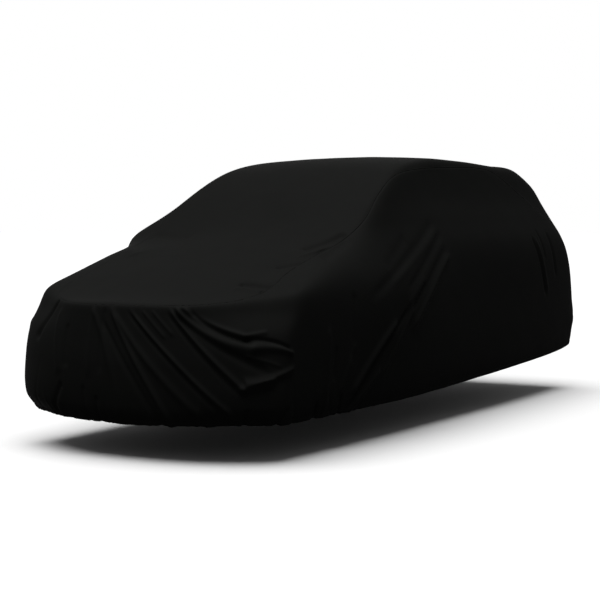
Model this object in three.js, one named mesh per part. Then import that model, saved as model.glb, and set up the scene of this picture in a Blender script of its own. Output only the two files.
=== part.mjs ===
import * as THREE from "three";

// Fitted stretch cover for a small five-door hatchback, standing as it hangs on the car, which is left out.
// Millimetres, +Z up. It is shaped in car coordinates: x runs rearwards from the front axle, y to the car's
// right and z up from the ground. Last, it is moved so that the support under its roof is the origin.
// A place on the skirt is (s, z): s runs round the car from the middle of the nose, positive along the
// car's left side and negative along its right side.

// ---- cloth ----
const SHEET = 3; // thickness of the cloth
const PIECE_GAP = 0.3; // clearance between the two panels along their seam
const SEAM_FADE = 22; // folds of the skirt die out this close to the seam

// ---- form under the cloth ----
const NOSE_X = -704;
const TAIL_X = 3299;
const HALF_WIDTH = 834;
const NOSE_SWEEP = 299; // how far the nose corners are swept back
const TAIL_SWEEP = 54; // how far the tail corners are swept forward
const TAPER_FRONT = 67; // loss of half-width at the nose
const TAPER_REAR = 59; // loss of half-width at the tail
const CROWN = 50; // fall of the top from its middle to its edge

// Softness of the edges where top, sides and ends meet, along the car.
const BLEND_LINE = [
  { x: -600, soft: 9 },
  { x: -250, soft: 22 },
  { x: 0, soft: 42 },
  { x: 350, soft: 50 },
  { x: 700, soft: 30 },
  { x: 950, soft: 18 },
  { x: 2600, soft: 19 },
  { x: 3200, soft: 30 },
];

// Swellings of each side: how far they stand out from the side, and their reach each way.
const LEFT_SWELLS = [
  { x: 700, z: 740, out: 40, ahead: 600, behind: 600, above: 260, below: 400 },
  { x: 450, z: 1060, out: -65, ahead: 800, behind: 450, above: 200, below: 200 },
];
const RIGHT_SWELLS = [
  { x: 618, z: 1022, out: 105, ahead: 150, behind: 230, above: 105, below: 380 },
];

// ---- how the form is walked ----
const PIVOT_Z = 550; // height of the inner line that the form is measured from
const SPINE = 0.72; // length of that line as a share of the plan
const PLAN_POWER = 5; // squareness of the plan outline that s is measured along
const MID_X = (NOSE_X + TAIL_X) / 2;
const HALF_LENGTH = (TAIL_X - NOSE_X) / 2;

// ---- grid ----
const SKIRT_ROWS = 13;
const END_STOPS = 16; // seam stops from the middle of the nose or tail to its corner
const SIDE_STOPS = 44; // seam stops along one side
const HALF_STOPS = 2 * END_STOPS + SIDE_STOPS;
const STOP_PLACES = [
  { stop: 0, s: 0 },
  { stop: 16, s: 720 },
  { stop: 45, s: 2600 },
  { stop: 60, s: 4440 },
  { stop: 76, s: 5176 },
];
// The skirt takes this many columns for each step between stops, where it has many folds.
const SPLITS = [
  { from: -250, to: 640, columns: 2 },
  { from: 640, to: 1000, columns: 2 },
  { from: 1050, to: 2700, columns: 2 },
];
// The skirt's columns lean along its folds: shift of s half way down a column and at its foot.
const LEAN = [
  { s: -2900, half: 100, foot: 400 },
  { s: -2300, half: 60, foot: 380 },
  { s: -1700, half: 20, foot: 200 },
  { s: -1200, half: 0, foot: 0 },
  { s: -700, half: 0, foot: 0 },
  { s: -400, half: 20, foot: 60 },
  { s: -150, half: 150, foot: 320 },
  { s: 100, half: 230, foot: 470 },
  { s: 350, half: 220, foot: 430 },
  { s: 600, half: 160, foot: 290 },
  { s: 900, half: 50, foot: 90 },
  { s: 1150, half: 0, foot: 0 },
  { s: 1500, half: -10, foot: -110 },
  { s: 2000, half: -50, foot: -430 },
  { s: 2500, half: -180, foot: -760 },
  { s: 2900, half: -180, foot: -780 },
  { s: 3400, half: -100, foot: -480 },
  { s: 4100, half: 0, foot: 0 },
];
const LEAST_WIDE = 17; // the narrowest fold that the grid carries

// Height of the top along the middle of the car: bonnet, windscreen, roof, tailgate.
const TOP_LINE = [
  { x: -800, z: 728 },
  { x: -500, z: 778 },
  { x: -200, z: 875 },
  { x: 150, z: 989 },
  { x: 450, z: 1085 },
  { x: 800, z: 1298 },
  { x: 1100, z: 1435 },
  { x: 1500, z: 1496 },
  { x: 2000, z: 1496 },
  { x: 2500, z: 1474 },
  { x: 2800, z: 1461 },
  { x: 3050, z: 1370 },
  { x: 3400, z: 1234 },
];

// Set-back of the nose in its middle and at its corners, of the sides and of the tail, by height.
const NOSE_MIDDLE = [
  { z: 100, back: 115 },
  { z: 180, back: 40 },
  { z: 260, back: 4 },
  { z: 450, back: 0 },
  { z: 600, back: 22 },
  { z: 700, back: 43 },
  { z: 800, back: 66 },
  { z: 1100, back: 150 },
];
const NOSE_LINE = [
  { z: 100, back: 150 },
  { z: 190, back: 60 },
  { z: 270, back: -2 },
  { z: 450, back: 4 },
  { z: 600, back: 40 },
  { z: 720, back: 120 },
  { z: 850, back: 172 },
  { z: 1100, back: 240 },
];
const SIDE_LINE = [
  { z: 100, back: 77 },
  { z: 250, back: 14 },
  { z: 450, back: -4 },
  { z: 700, back: 4 },
  { z: 880, back: 19 },
  { z: 1000, back: 49 },
  { z: 1120, back: 110 },
  { z: 1250, back: 181 },
  { z: 1400, back: 245 },
  { z: 1500, back: 280 },
];
const TAIL_LINE = [
  { z: 100, back: 140 },
  { z: 250, back: 60 },
  { z: 400, back: 9 },
  { z: 600, back: 1 },
  { z: 800, back: 22 },
  { z: 950, back: 67 },
  { z: 1150, back: 163 },
  { z: 1400, back: 219 },
];

// Height of the elastic hem: low under the nose, rising over the rear wheels and the tail.
const HEM_LINE = [
  { s: 0, z: 170 },
  { s: 600, z: 181 },
  { s: 1000, z: 181 },
  { s: 1500, z: 185 },
  { s: 2200, z: 190 },
  { s: 3300, z: 228 },
  { s: 4200, z: 268 },
  { s: 4700, z: 320 },
  { s: 5175, z: 300 },
];

// Seam between the panels, as degrees from straight up at the inner line: bonnet edge, wing, windscreen
// pillar, roof rail, rear pillar and across the tail below the glass.
const SEAM_LINE = [
  { s: 0, tilt: 68.8 },
  { s: 300, tilt: 70.6 },
  { s: 600, tilt: 72.2 },
  { s: 740, tilt: 72.4 },
  { s: 895, tilt: 70.2 },
  { s: 1094, tilt: 63.5 },
  { s: 1324, tilt: 58.5 },
  { s: 1600, tilt: 54.0 },
  { s: 1850, tilt: 48.2 },
  { s: 2056, tilt: 40.9 },
  { s: 2285, tilt: 35.9 },
  { s: 2600, tilt: 33.9 },
  { s: 3165, tilt: 33.4 },
  { s: 3700, tilt: 34.5 },
  { s: 3912, tilt: 38.4 },
  { s: 4134, tilt: 46.0 },
  { s: 4300, tilt: 54.4 },
  { s: 4430, tilt: 58.4 },
  { s: 4600, tilt: 56.1 },
  { s: 4900, tilt: 49.3 },
  { s: 5175, tilt: 46.7 },
];

// Folds of the skirt: each runs from (s0, z0) to (s1, z1) with a bow to its left, is as wide as w0 where it
// starts and w1 where it ends, and stands out or in.
const SKIRT_FOLDS = [
  // nose: long thin folds that fan from the bonnet edge to the car's front left corner
  { s0: -600, z0: 760, s1: -690, z1: 540, bow: 0, w0: 14, w1: 24, out: -12 },
  { s0: -500, z0: 720, s1: -385, z1: 380, bow: 0, w0: 20, w1: 30, out: 6 },
  { s0: -365, z0: 650, s1: -335, z1: 420, bow: 0, w0: 18, w1: 24, out: -5 },
  { s0: -178, z0: 740, s1: -165, z1: 380, bow: 0, w0: 14, w1: 18, out: 4 },
  { s0: -102, z0: 740, s1: -95, z1: 400, bow: 0, w0: 14, w1: 18, out: -4 },
  { s0: -205, z0: 745, s1: 20, z1: 160, bow: 60, w0: 14, w1: 24, out: 7 },
  { s0: -75, z0: 745, s1: 375, z1: 100, bow: 8, w0: 12, w1: 18, out: 11 },
  { s0: -125, z0: 690, s1: 300, z1: 110, bow: 14, w0: 12, w1: 18, out: -6 },
  { s0: -65, z0: 745, s1: 640, z1: 110, bow: -28, w0: 12, w1: 26, out: 8 },
  { s0: 30, z0: 730, s1: 700, z1: 145, bow: 0, w0: 9, w1: 13, out: -6 },
  { s0: 50, z0: 735, s1: 720, z1: 165, bow: 0, w0: 9, w1: 13, out: 9 },
  { s0: 140, z0: 722, s1: 300, z1: 585, bow: 0, w0: 7, w1: 9, out: 4 },
  { s0: 200, z0: 722, s1: 345, z1: 600, bow: 0, w0: 7, w1: 10, out: 4 },
  { s0: 285, z0: 722, s1: 700, z1: 305, bow: 0, w0: 9, w1: 12, out: -6 },
  { s0: 300, z0: 740, s1: 725, z1: 320, bow: 0, w0: 10, w1: 14, out: 12 },
  { s0: 330, z0: 715, s1: 830, z1: 420, bow: -8, w0: 13, w1: 22, out: -12 },
  { s0: 330, z0: 755, s1: 800, z1: 540, bow: -55, w0: 13, w1: 34, out: 15 },
  { s0: 715, z0: 540, s1: 945, z1: 512, bow: 22, w0: 26, w1: 11, out: 13 },
  { s0: 425, z0: 725, s1: 760, z1: 568, bow: -18, w0: 11, w1: 14, out: -15 },
  { s0: 690, z0: 585, s1: 930, z1: 530, bow: 24, w0: 9, w1: 8, out: -11 },
  { s0: 360, z0: 755, s1: 740, z1: 592, bow: -18, w0: 12, w1: 16, out: 12 },
  { s0: 690, z0: 600, s1: 820, z1: 622, bow: 0, w0: 9, w1: 9, out: 6 },
  { s0: 690, z0: 516, s1: 870, z1: 458, bow: 4, w0: 7, w1: 7, out: 4 },
  { s0: 650, z0: 345, s1: 950, z1: 462, bow: 0, w0: 18, w1: 10, out: 15 },
  { s0: 685, z0: 385, s1: 840, z1: 402, bow: 0, w0: 22, w1: 16, out: 16 },
  // short puckers at the nose hem
  { s0: 705, z0: 270, s1: 714, z1: 110, bow: 0, w0: 11, w1: 13, out: -9 },
  { s0: 905, z0: 270, s1: 820, z1: 120, bow: 0, w0: 12, w1: 14, out: -10 },
  { s0: -115, z0: 310, s1: -138, z1: 110, bow: 0, w0: 12, w1: 14, out: -6 },
  { s0: -360, z0: 360, s1: -490, z1: 190, bow: 0, w0: 16, w1: 18, out: -8 },
  { s0: -200, z0: 360, s1: -206, z1: 120, bow: 0, w0: 12, w1: 14, out: -5 },
  // left side, fanning down from behind the door mirror to the front wheel
  { s0: 1860, z0: 625, s1: 1400, z1: 250, bow: -20, w0: 16, w1: 20, out: 15 },
  { s0: 1700, z0: 385, s1: 1400, z1: 165, bow: 0, w0: 14, w1: 16, out: 11 },
  { s0: 2000, z0: 690, s1: 1390, z1: 190, bow: -16, w0: 13, w1: 15, out: -12 },
  { s0: 2560, z0: 985, s1: 2000, z1: 640, bow: -20, w0: 14, w1: 12, out: -7 },
  { s0: 2590, z0: 950, s1: 1990, z1: 540, bow: -30, w0: 14, w1: 18, out: 14 },
  { s0: 2050, z0: 700, s1: 1690, z1: 320, bow: 0, w0: 10, w1: 12, out: 8 },
  { s0: 2200, z0: 800, s1: 1990, z1: 650, bow: 0, w0: 9, w1: 9, out: -6 },
  { s0: 2200, z0: 830, s1: 1960, z1: 690, bow: 0, w0: 9, w1: 9, out: 6 },
  { s0: 2560, z0: 1130, s1: 1570, z1: 728, bow: 0, w0: 26, w1: 26, out: -8 },
  { s0: 2560, z0: 1095, s1: 1800, z1: 790, bow: 0, w0: 18, w1: 18, out: 5 },
  { s0: 2580, z0: 1070, s1: 1960, z1: 755, bow: -4, w0: 18, w1: 18, out: -8 },
  { s0: 2140, z0: 1040, s1: 1810, z1: 880, bow: 0, w0: 26, w1: 28, out: -5 },
  { s0: 1460, z0: 790, s1: 1410, z1: 420, bow: 0, w0: 22, w1: 22, out: -6 },
  { s0: 1450, z0: 540, s1: 1310, z1: 270, bow: 0, w0: 15, w1: 17, out: 6 },
  { s0: 1220, z0: 640, s1: 1190, z1: 120, bow: 0, w0: 16, w1: 20, out: 7 },
  { s0: 1278, z0: 530, s1: 1262, z1: 350, bow: 0, w0: 14, w1: 14, out: -5 },
  { s0: 1130, z0: 270, s1: 1128, z1: 110, bow: 0, w0: 12, w1: 14, out: -11 },
  { s0: 1338, z0: 290, s1: 1330, z1: 110, bow: 0, w0: 12, w1: 14, out: -8 },
  { s0: 3860, z0: 1020, s1: 3965, z1: 620, bow: 0, w0: 13, w1: 16, out: -9 },
  { s0: 3905, z0: 1010, s1: 4000, z1: 640, bow: 0, w0: 13, w1: 16, out: 5 },
  { s0: 3988, z0: 1060, s1: 4002, z1: 860, bow: 0, w0: 12, w1: 12, out: -5 },
  { s0: 4150, z0: 1040, s1: 4150, z1: 740, bow: 0, w0: 15, w1: 17, out: -7 },
  { s0: 1700, z0: 1065, s1: 1300, z1: 950, bow: 0, w0: 16, w1: 16, out: 8 },
  { s0: 1660, z0: 1030, s1: 1340, z1: 940, bow: 0, w0: 14, w1: 14, out: -6 },
  // nose and right side, running down to the car's front right corner and wheel
  { s0: -905, z0: 660, s1: -1010, z1: 300, bow: 0, w0: 18, w1: 22, out: 6 },
  { s0: -1010, z0: 560, s1: -1090, z1: 240, bow: 0, w0: 16, w1: 20, out: -5 },
  { s0: -2520, z0: 980, s1: -1480, z1: 230, bow: 0, w0: 18, w1: 22, out: 10 },
  { s0: -2500, z0: 930, s1: -1440, z1: 170, bow: 0, w0: 14, w1: 20, out: -9 },
  { s0: -2500, z0: 1060, s1: -1700, z1: 760, bow: 0, w0: 28, w1: 26, out: -8 },
  { s0: -2160, z0: 700, s1: -1600, z1: 330, bow: 10, w0: 15, w1: 20, out: 7 },
  { s0: -1250, z0: 600, s1: -1215, z1: 120, bow: 0, w0: 18, w1: 20, out: 7 },
  { s0: -1410, z0: 560, s1: -1330, z1: 220, bow: 0, w0: 16, w1: 18, out: 6 },
  { s0: -1150, z0: 270, s1: -1146, z1: 110, bow: 0, w0: 12, w1: 14, out: -9 },
  { s0: -3900, z0: 1000, s1: -3965, z1: 600, bow: 0, w0: 15, w1: 18, out: -8 },
  { s0: -4170, z0: 1020, s1: -4160, z1: 720, bow: 0, w0: 15, w1: 17, out: -6 },
  // tail
  { s0: 4620, z0: 980, s1: 4420, z1: 380, bow: 15, w0: 24, w1: 30, out: 8 },
  { s0: -4650, z0: 980, s1: -4380, z1: 400, bow: -15, w0: 24, w1: 32, out: 8 },
  { s0: 4950, z0: 960, s1: 4780, z1: 340, bow: 0, w0: 24, w1: 30, out: -7 },
  { s0: -4960, z0: 930, s1: -4830, z1: 420, bow: 0, w0: 22, w1: 28, out: -6 },
];

// Folds of the top panel, in plan: each runs from (x0, y0) to (x1, y1).
const TOP_FOLDS = [
  { x0: -277, y0: -430, x1: -284, y1: -655, bow: 0, w0: 20, w1: 24, out: -17 },
  { x0: -335, y0: -440, x1: -345, y1: -645, bow: 0, w0: 18, w1: 18, out: 8 },
  { x0: 200, y0: -500, x1: 490, y1: -600, bow: 0, w0: 30, w1: 26, out: -18 },
  { x0: 90, y0: -545, x1: 330, y1: -640, bow: 0, w0: 16, w1: 18, out: 9 },
  { x0: -60, y0: -500, x1: 80, y1: -645, bow: 0, w0: 20, w1: 22, out: -12 },
  { x0: 345, y0: 300, x1: 450, y1: 640, bow: 0, w0: 50, w1: 38, out: -8 },
  { x0: 90, y0: 460, x1: 270, y1: 680, bow: 0, w0: 36, w1: 40, out: 6 },
  { x0: 520, y0: -250, x1: 760, y1: 120, bow: 40, w0: 110, w1: 110, out: -9 },
];

/** A smooth curve through one column of a table against another, held level beyond its ends. */
function curve(rows, key, value) {
  const xs = rows.map((row) => row[key]);
  const ys = rows.map((row) => row[value]);
  const last = xs.length - 1;
  const slopes = xs.map((_, i) => {
    const a = Math.max(i - 1, 0);
    const b = Math.min(i + 1, last);
    return (ys[b] - ys[a]) / (xs[b] - xs[a]);
  });
  return (at) => {
    const x = THREE.MathUtils.clamp(at, xs[0], xs[last]);
    let i = 0;
    while (i < last - 1 && x >= xs[i + 1]) i += 1;
    const span = xs[i + 1] - xs[i];
    const t = (x - xs[i]) / span;
    const u = 1 - t;
    return (
      u * u * (1 + 2 * t) * ys[i] + t * t * (3 - 2 * t) * ys[i + 1] +
      span * t * u * (u * slopes[i] - t * slopes[i + 1])
    );
  };
}

const topLine = curve(TOP_LINE, "x", "z");
const blendLine = curve(BLEND_LINE, "x", "soft");
const noseMiddle = curve(NOSE_MIDDLE, "z", "back");
const noseLine = curve(NOSE_LINE, "z", "back");
const sideLine = curve(SIDE_LINE, "z", "back");
const tailLine = curve(TAIL_LINE, "z", "back");
const hemLine = curve(HEM_LINE, "s", "z");
const seamLine = curve(SEAM_LINE, "s", "tilt");
const stopLine = curve(STOP_PLACES, "stop", "s");
const leanHalf = curve(LEAN, "s", "half");
const leanFoot = curve(LEAN, "s", "foot");

/** Signed distance-like value of the form: negative inside, zero on the cloth, positive outside. */
function form(x, y, z) {
  const across = Math.abs(y) / HALF_WIDTH;
  const along = (x - MID_X) / HALF_LENGTH;
  const bulge = (y < 0 ? LEFT_SWELLS : RIGHT_SWELLS).reduce((sum, swell) => {
    const long = x < swell.x ? swell.ahead : swell.behind;
    const tall = z > swell.z ? swell.above : swell.below;
    return sum + swell.out * Math.exp(-(((x - swell.x) / long) ** 2) - ((z - swell.z) / tall) ** 2);
  }, 0);
  const corner = THREE.MathUtils.smoothstep(across, 0.3, 0.8);
  const half =
    HALF_WIDTH + bulge - sideLine(z) -
    TAPER_FRONT * Math.max(-along, 0) ** 3 - TAPER_REAR * Math.max(along, 0) ** 3;
  const faces = [
    (z - topLine(x) + CROWN * across ** 2) * 0.85,
    Math.abs(y) - half,
    NOSE_X + THREE.MathUtils.lerp(noseMiddle(z), noseLine(z), corner) + NOSE_SWEEP * across ** 2.6 - x,
    x - TAIL_X + tailLine(z) + TAIL_SWEEP * across ** 3,
  ];
  const most = Math.max(...faces);
  const soft = blendLine(x);
  return most + soft * Math.log(faces.reduce((sum, face) => sum + Math.exp((face - most) / soft), 0));
}

/** Outward direction of the form at a point. */
function outward(p) {
  const h = 1;
  return new THREE.Vector3(
    form(p.x + h, p.y, p.z) - form(p.x - h, p.y, p.z),
    form(p.x, p.y + h, p.z) - form(p.x, p.y - h, p.z),
    form(p.x, p.y, p.z + h) - form(p.x, p.y, p.z - h),
  ).normalize();
}

/** Where a ray from the inner line meets the form. */
function meet(pivotX, direction) {
  let near = 0;
  let far = 3200;
  const p = new THREE.Vector3();
  for (let i = 0; i < 30; i += 1) {
    const r = (near + far) / 2;
    p.set(pivotX + direction.x * r, direction.y * r, PIVOT_Z + direction.z * r);
    if (form(p.x, p.y, p.z) < 0) near = r;
    else far = r;
  }
  return p;
}

/** Plan outline as a list of points with their distance s from the middle of the nose. */
function planOutline() {
  const steps = 4000;
  const points = [];
  let s = 0;
  for (let i = 0; i <= steps; i += 1) {
    const angle = (Math.PI * i) / steps;
    const c = Math.cos(angle);
    const x = MID_X - HALF_LENGTH * Math.sign(c) * Math.abs(c) ** (2 / PLAN_POWER);
    const y = -HALF_WIDTH * Math.abs(Math.sin(angle)) ** (2 / PLAN_POWER);
    if (i > 0) s += Math.hypot(x - points[i - 1].x, y - points[i - 1].y);
    points.push({ s, x, y });
  }
  return points;
}

const OUTLINE = planOutline();
const ROUND = 2 * OUTLINE[OUTLINE.length - 1].s;

/** Inner-line point and level direction for a place s round the car. */
function heading(s) {
  const at = THREE.MathUtils.clamp(Math.abs(s), 0, ROUND / 2);
  let low = 0;
  let high = OUTLINE.length - 1;
  while (high - low > 1) {
    const middle = (low + high) >> 1;
    if (OUTLINE[middle].s <= at) low = middle;
    else high = middle;
  }
  const t = (at - OUTLINE[low].s) / (OUTLINE[high].s - OUTLINE[low].s);
  const x = THREE.MathUtils.lerp(OUTLINE[low].x, OUTLINE[high].x, t);
  const y = THREE.MathUtils.lerp(OUTLINE[low].y, OUTLINE[high].y, t) * (s < 0 ? -1 : 1);
  const pivotX = MID_X + (x - MID_X) * SPINE;
  const reach = Math.hypot(x - pivotX, y);
  return { pivotX, x: (x - pivotX) / reach, y: y / reach };
}

/** Point of the form at a place s and a tilt in degrees from straight up. */
function place(s, tilt) {
  const way = heading(s);
  const a = THREE.MathUtils.degToRad(tilt);
  return meet(way.pivotX, new THREE.Vector3(way.x * Math.sin(a), way.y * Math.sin(a), Math.cos(a)));
}

/** Rise and fall of one fold at an offset (u, v) from its start, along a chord (du, dv). */
function foldRise(fold, u, v, du, dv) {
  const length = Math.hypot(du, dv);
  const along = (u * du + v * dv) / (length * length);
  if (along <= 0 || along >= 1) return 0;
  const across = (v * du - u * dv) / length - fold.bow * 4 * along * (1 - along);
  const wide = Math.max(THREE.MathUtils.lerp(fold.w0, fold.w1, along), LEAST_WIDE);
  const ends = THREE.MathUtils.smoothstep(along, 0, 0.12) * THREE.MathUtils.smoothstep(1 - along, 0, 0.15);
  return fold.out * ends * Math.exp(-((across / wide) ** 2));
}

/** Shift of the skirt off the form at (s, z). */
function skirtShift(s, z) {
  return SKIRT_FOLDS.reduce((sum, fold) => {
    const u = THREE.MathUtils.euclideanModulo(s - fold.s0 + ROUND / 2, ROUND) - ROUND / 2;
    return sum + foldRise(fold, u, z - fold.z0, fold.s1 - fold.s0, fold.z1 - fold.z0);
  }, 0);
}

/** Shift of the top panel off the form at (x, y). */
function topShift(x, y) {
  return TOP_FOLDS.reduce(
    (sum, fold) => sum + foldRise(fold, x - fold.x0, y - fold.y0, fold.x1 - fold.x0, fold.y1 - fold.y0),
    0,
  );
}

/** Seam points round the whole car, from the middle of the nose along the left side first. */
function seamLoop() {
  const loop = [];
  for (let i = 0; i < 2 * HALF_STOPS; i += 1) {
    const s = i <= HALF_STOPS ? stopLine(i) : -stopLine(2 * HALF_STOPS - i);
    const point = place(s, seamLine(Math.abs(s)));
    loop.push({ s, point, normal: outward(point) });
  }
  loop.forEach((stop, i) => {
    const before = loop[(i + loop.length - 1) % loop.length].point;
    const after = loop[(i + 1) % loop.length].point;
    const back = stop.point.clone().sub(before).normalize();
    const ahead = after.clone().sub(stop.point).normalize();
    stop.down = stop.normal.clone().cross(back.clone().add(ahead)).normalize();
    if (stop.down.z > 0) stop.down.negate();
    stop.reach = PIECE_GAP / 2 / Math.sqrt((1 + back.dot(ahead)) / 2);
  });
  return loop;
}

const SEAM = seamLoop();

/** Skirt columns: one at each seam stop, and more between stops where SPLITS asks for them. */
function skirtColumns() {
  const columns = [];
  SEAM.forEach((stop, i) => {
    const next = SEAM[(i + 1) % SEAM.length];
    const middle = (stop.s + next.s) / 2;
    const side = Math.abs(next.s - stop.s) < 500;
    const split = SPLITS.find((row) => side && middle > row.from && middle < row.to);
    const count = split ? split.columns : 1;
    for (let k = 0; k < count; k += 1) {
      const t = k / count;
      const edge = stop.point.clone().addScaledVector(stop.down, stop.reach);
      edge.lerp(next.point.clone().addScaledVector(next.down, next.reach), t);
      const normal = stop.normal.clone().lerp(next.normal, t).normalize();
      columns.push({ s: THREE.MathUtils.lerp(stop.s, next.s, t), edge, normal });
    }
  });
  return columns;
}

/** Point of the skirt's form a share of the way from the seam to the hem, with its length from the seam. */
function down(s, share) {
  const tilt = seamLine(Math.abs(s));
  const hem = hemLine(Math.abs(s));
  const steps = 60;
  const path = [{ point: place(s, tilt), length: 0 }];
  for (let i = 1; i <= steps; i += 1) {
    const point = place(s, tilt + ((140 - tilt) * i) / steps);
    const last = path[path.length - 1];
    const length = last.length + point.distanceTo(last.point);
    if (point.z < hem) {
      const t = (last.point.z - hem) / (last.point.z - point.z);
      const end = THREE.MathUtils.lerp(last.length, length, t);
      path.push({ point: last.point.clone().lerp(point, t), length: end });
      break;
    }
    path.push({ point, length });
  }
  const want = path[path.length - 1].length * share;
  let k = 0;
  while (k < path.length - 2 && path[k + 1].length < want) k += 1;
  const t = (want - path[k].length) / (path[k + 1].length - path[k].length);
  return { point: path[k].point.clone().lerp(path[k + 1].point, t), length: want };
}

const COLUMNS = skirtColumns();

/** Skirt grid: each column runs from the seam down to the hem and leans along the folds. */
function skirtGrid() {
  return COLUMNS.map((column) => {
    const half = leanHalf(column.s);
    const foot = leanFoot(column.s);
    const line = [column.edge.clone()];
    for (let row = 1; row <= SKIRT_ROWS; row += 1) {
      const share = row / SKIRT_ROWS;
      const s = column.s + share * (4 * half - foot) + share * share * (2 * foot - 4 * half);
      const { point, length } = down(s, share);
      const fade = THREE.MathUtils.smoothstep(length, 0, SEAM_FADE);
      line.push(point.addScaledVector(outward(point), fade * skirtShift(s, point.z)));
    }
    return line;
  });
}

/** Top grid: a net stretched over the seam loop and pushed out onto the form. */
function topGrid() {
  const left = SEAM.slice(END_STOPS, END_STOPS + SIDE_STOPS + 1);
  const tail = SEAM.slice(END_STOPS + SIDE_STOPS, 3 * END_STOPS + SIDE_STOPS + 1);
  const right = SEAM.slice(3 * END_STOPS + SIDE_STOPS, 3 * END_STOPS + 2 * SIDE_STOPS + 1).reverse();
  const nose = [...SEAM.slice(3 * END_STOPS + 2 * SIDE_STOPS), ...SEAM.slice(0, END_STOPS + 1)].reverse();
  const width = 2 * END_STOPS;
  const grid = [];
  for (let i = 0; i <= SIDE_STOPS; i += 1) {
    const u = i / SIDE_STOPS;
    const row = [];
    for (let j = 0; j <= width; j += 1) {
      const v = j / width;
      const edge = [left[i], right[i], nose[j], tail[j]];
      const touched = [j === 0, j === width, i === 0, i === SIDE_STOPS].indexOf(true);
      const onEdge = touched < 0 ? null : edge[touched];
      if (onEdge) {
        row.push(onEdge.point.clone().addScaledVector(onEdge.down, -onEdge.reach));
        continue;
      }
      const [a, b, c, d] = edge.map((stop) => stop.point);
      const net = new THREE.Vector3()
        .addScaledVector(a, 1 - v)
        .addScaledVector(b, v)
        .addScaledVector(c, 1 - u)
        .addScaledVector(d, u)
        .addScaledVector(left[0].point, -(1 - u) * (1 - v))
        .addScaledVector(right[0].point, -(1 - u) * v)
        .addScaledVector(left[SIDE_STOPS].point, -u * (1 - v))
        .addScaledVector(right[SIDE_STOPS].point, -u * v);
      const pivotX = MID_X + (net.x - MID_X) * SPINE;
      const point = meet(pivotX, net.sub(new THREE.Vector3(pivotX, 0, PIVOT_Z)).normalize());
      row.push(point.addScaledVector(outward(point), topShift(point.x, point.y)));
    }
    grid.push(row);
  }
  return grid;
}

/** Unit normals of a grid of points, with fixed ones given for its seam edge. */
function gridNormals(grid, wraps, fixed) {
  const n = grid.length;
  return grid.map((line, i) =>
    line.map((point, j) => {
      const known = fixed(i, j);
      if (known) return known;
      const before = grid[wraps ? (i + n - 1) % n : Math.max(i - 1, 0)][j];
      const after = grid[wraps ? (i + 1) % n : Math.min(i + 1, n - 1)][j];
      const up = line[Math.max(j - 1, 0)];
      const down = line[Math.min(j + 1, line.length - 1)];
      const normal = after.clone().sub(before).cross(down.clone().sub(up)).normalize();
      return normal.dot(outward(point)) < 0 ? normal.negate() : normal;
    }),
  );
}

/** Closed sheet of cloth: the grid is its outer face, and it is SHEET thick inwards. */
function sheet(grid, normals, wraps) {
  const n = grid.length;
  const m = grid[0].length;
  const positions = [];
  for (const inner of [0, 1]) {
    grid.forEach((line, i) =>
      line.forEach((point, j) => {
        const p = point.clone().addScaledVector(normals[i][j], -SHEET * inner);
        positions.push(p.x, p.y, p.z);
      }),
    );
  }
  const at = (i, j, inner) => inner * n * m + (i % n) * m + j;
  const index = [];
  const quad = (a, b, c, d) => index.push(a, b, c, a, c, d);
  const offForm = (a, b) => {
    const p = a.clone().lerp(b, 0.5);
    return Math.abs(form(p.x, p.y, p.z));
  };
  const lines = wraps ? n : n - 1;
  for (let i = 0; i < lines; i += 1) {
    const here = grid[i];
    const next = grid[(i + 1) % n];
    for (let j = 0; j < m - 1; j += 1) {
      // Each square is split along the diagonal that lies closer to the form.
      if (offForm(here[j], next[j + 1]) <= offForm(next[j], here[j + 1])) {
        quad(at(i, j, 0), at(i + 1, j, 0), at(i + 1, j + 1, 0), at(i, j + 1, 0));
        quad(at(i + 1, j + 1, 1), at(i + 1, j, 1), at(i, j, 1), at(i, j + 1, 1));
      } else {
        quad(at(i + 1, j, 0), at(i + 1, j + 1, 0), at(i, j + 1, 0), at(i, j, 0));
        quad(at(i, j + 1, 1), at(i + 1, j + 1, 1), at(i + 1, j, 1), at(i, j, 1));
      }
    }
    quad(at(i, 0, 0), at(i, 0, 1), at(i + 1, 0, 1), at(i + 1, 0, 0));
    quad(at(i + 1, m - 1, 0), at(i + 1, m - 1, 1), at(i, m - 1, 1), at(i, m - 1, 0));
  }
  if (!wraps) {
    for (let j = 0; j < m - 1; j += 1) {
      quad(at(0, j + 1, 0), at(0, j + 1, 1), at(0, j, 1), at(0, j, 0));
      quad(at(n - 1, j, 0), at(n - 1, j, 1), at(n - 1, j + 1, 1), at(n - 1, j + 1, 0));
    }
  }
  const geometry = new THREE.BufferGeometry();
  geometry.setAttribute("position", new THREE.Float32BufferAttribute(positions, 3));
  geometry.setIndex(index);
  if (volume(geometry) < 0) {
    for (let k = 0; k < index.length; k += 3) [index[k + 1], index[k + 2]] = [index[k + 2], index[k + 1]];
    geometry.setIndex(index);
  }
  geometry.computeVertexNormals();
  return geometry;
}

/** Signed volume of a closed mesh, positive when its faces point out. */
function volume(geometry) {
  const p = geometry.getAttribute("position");
  const index = geometry.getIndex();
  const corner = [new THREE.Vector3(), new THREE.Vector3(), new THREE.Vector3()];
  let sum = 0;
  for (let k = 0; k < index.count; k += 3) {
    corner.forEach((c, i) => c.fromBufferAttribute(p, index.getX(k + i)));
    sum += corner[0].dot(corner[1].clone().cross(corner[2]));
  }
  return sum / 6;
}

const cover = new THREE.Group();

function addCloth(name, geometry, color) {
  const material = new THREE.MeshStandardMaterial({ color, roughness: 0.55, metalness: 0 });
  const mesh = new THREE.Mesh(geometry, material);
  mesh.name = name;
  cover.add(mesh);
}

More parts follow.
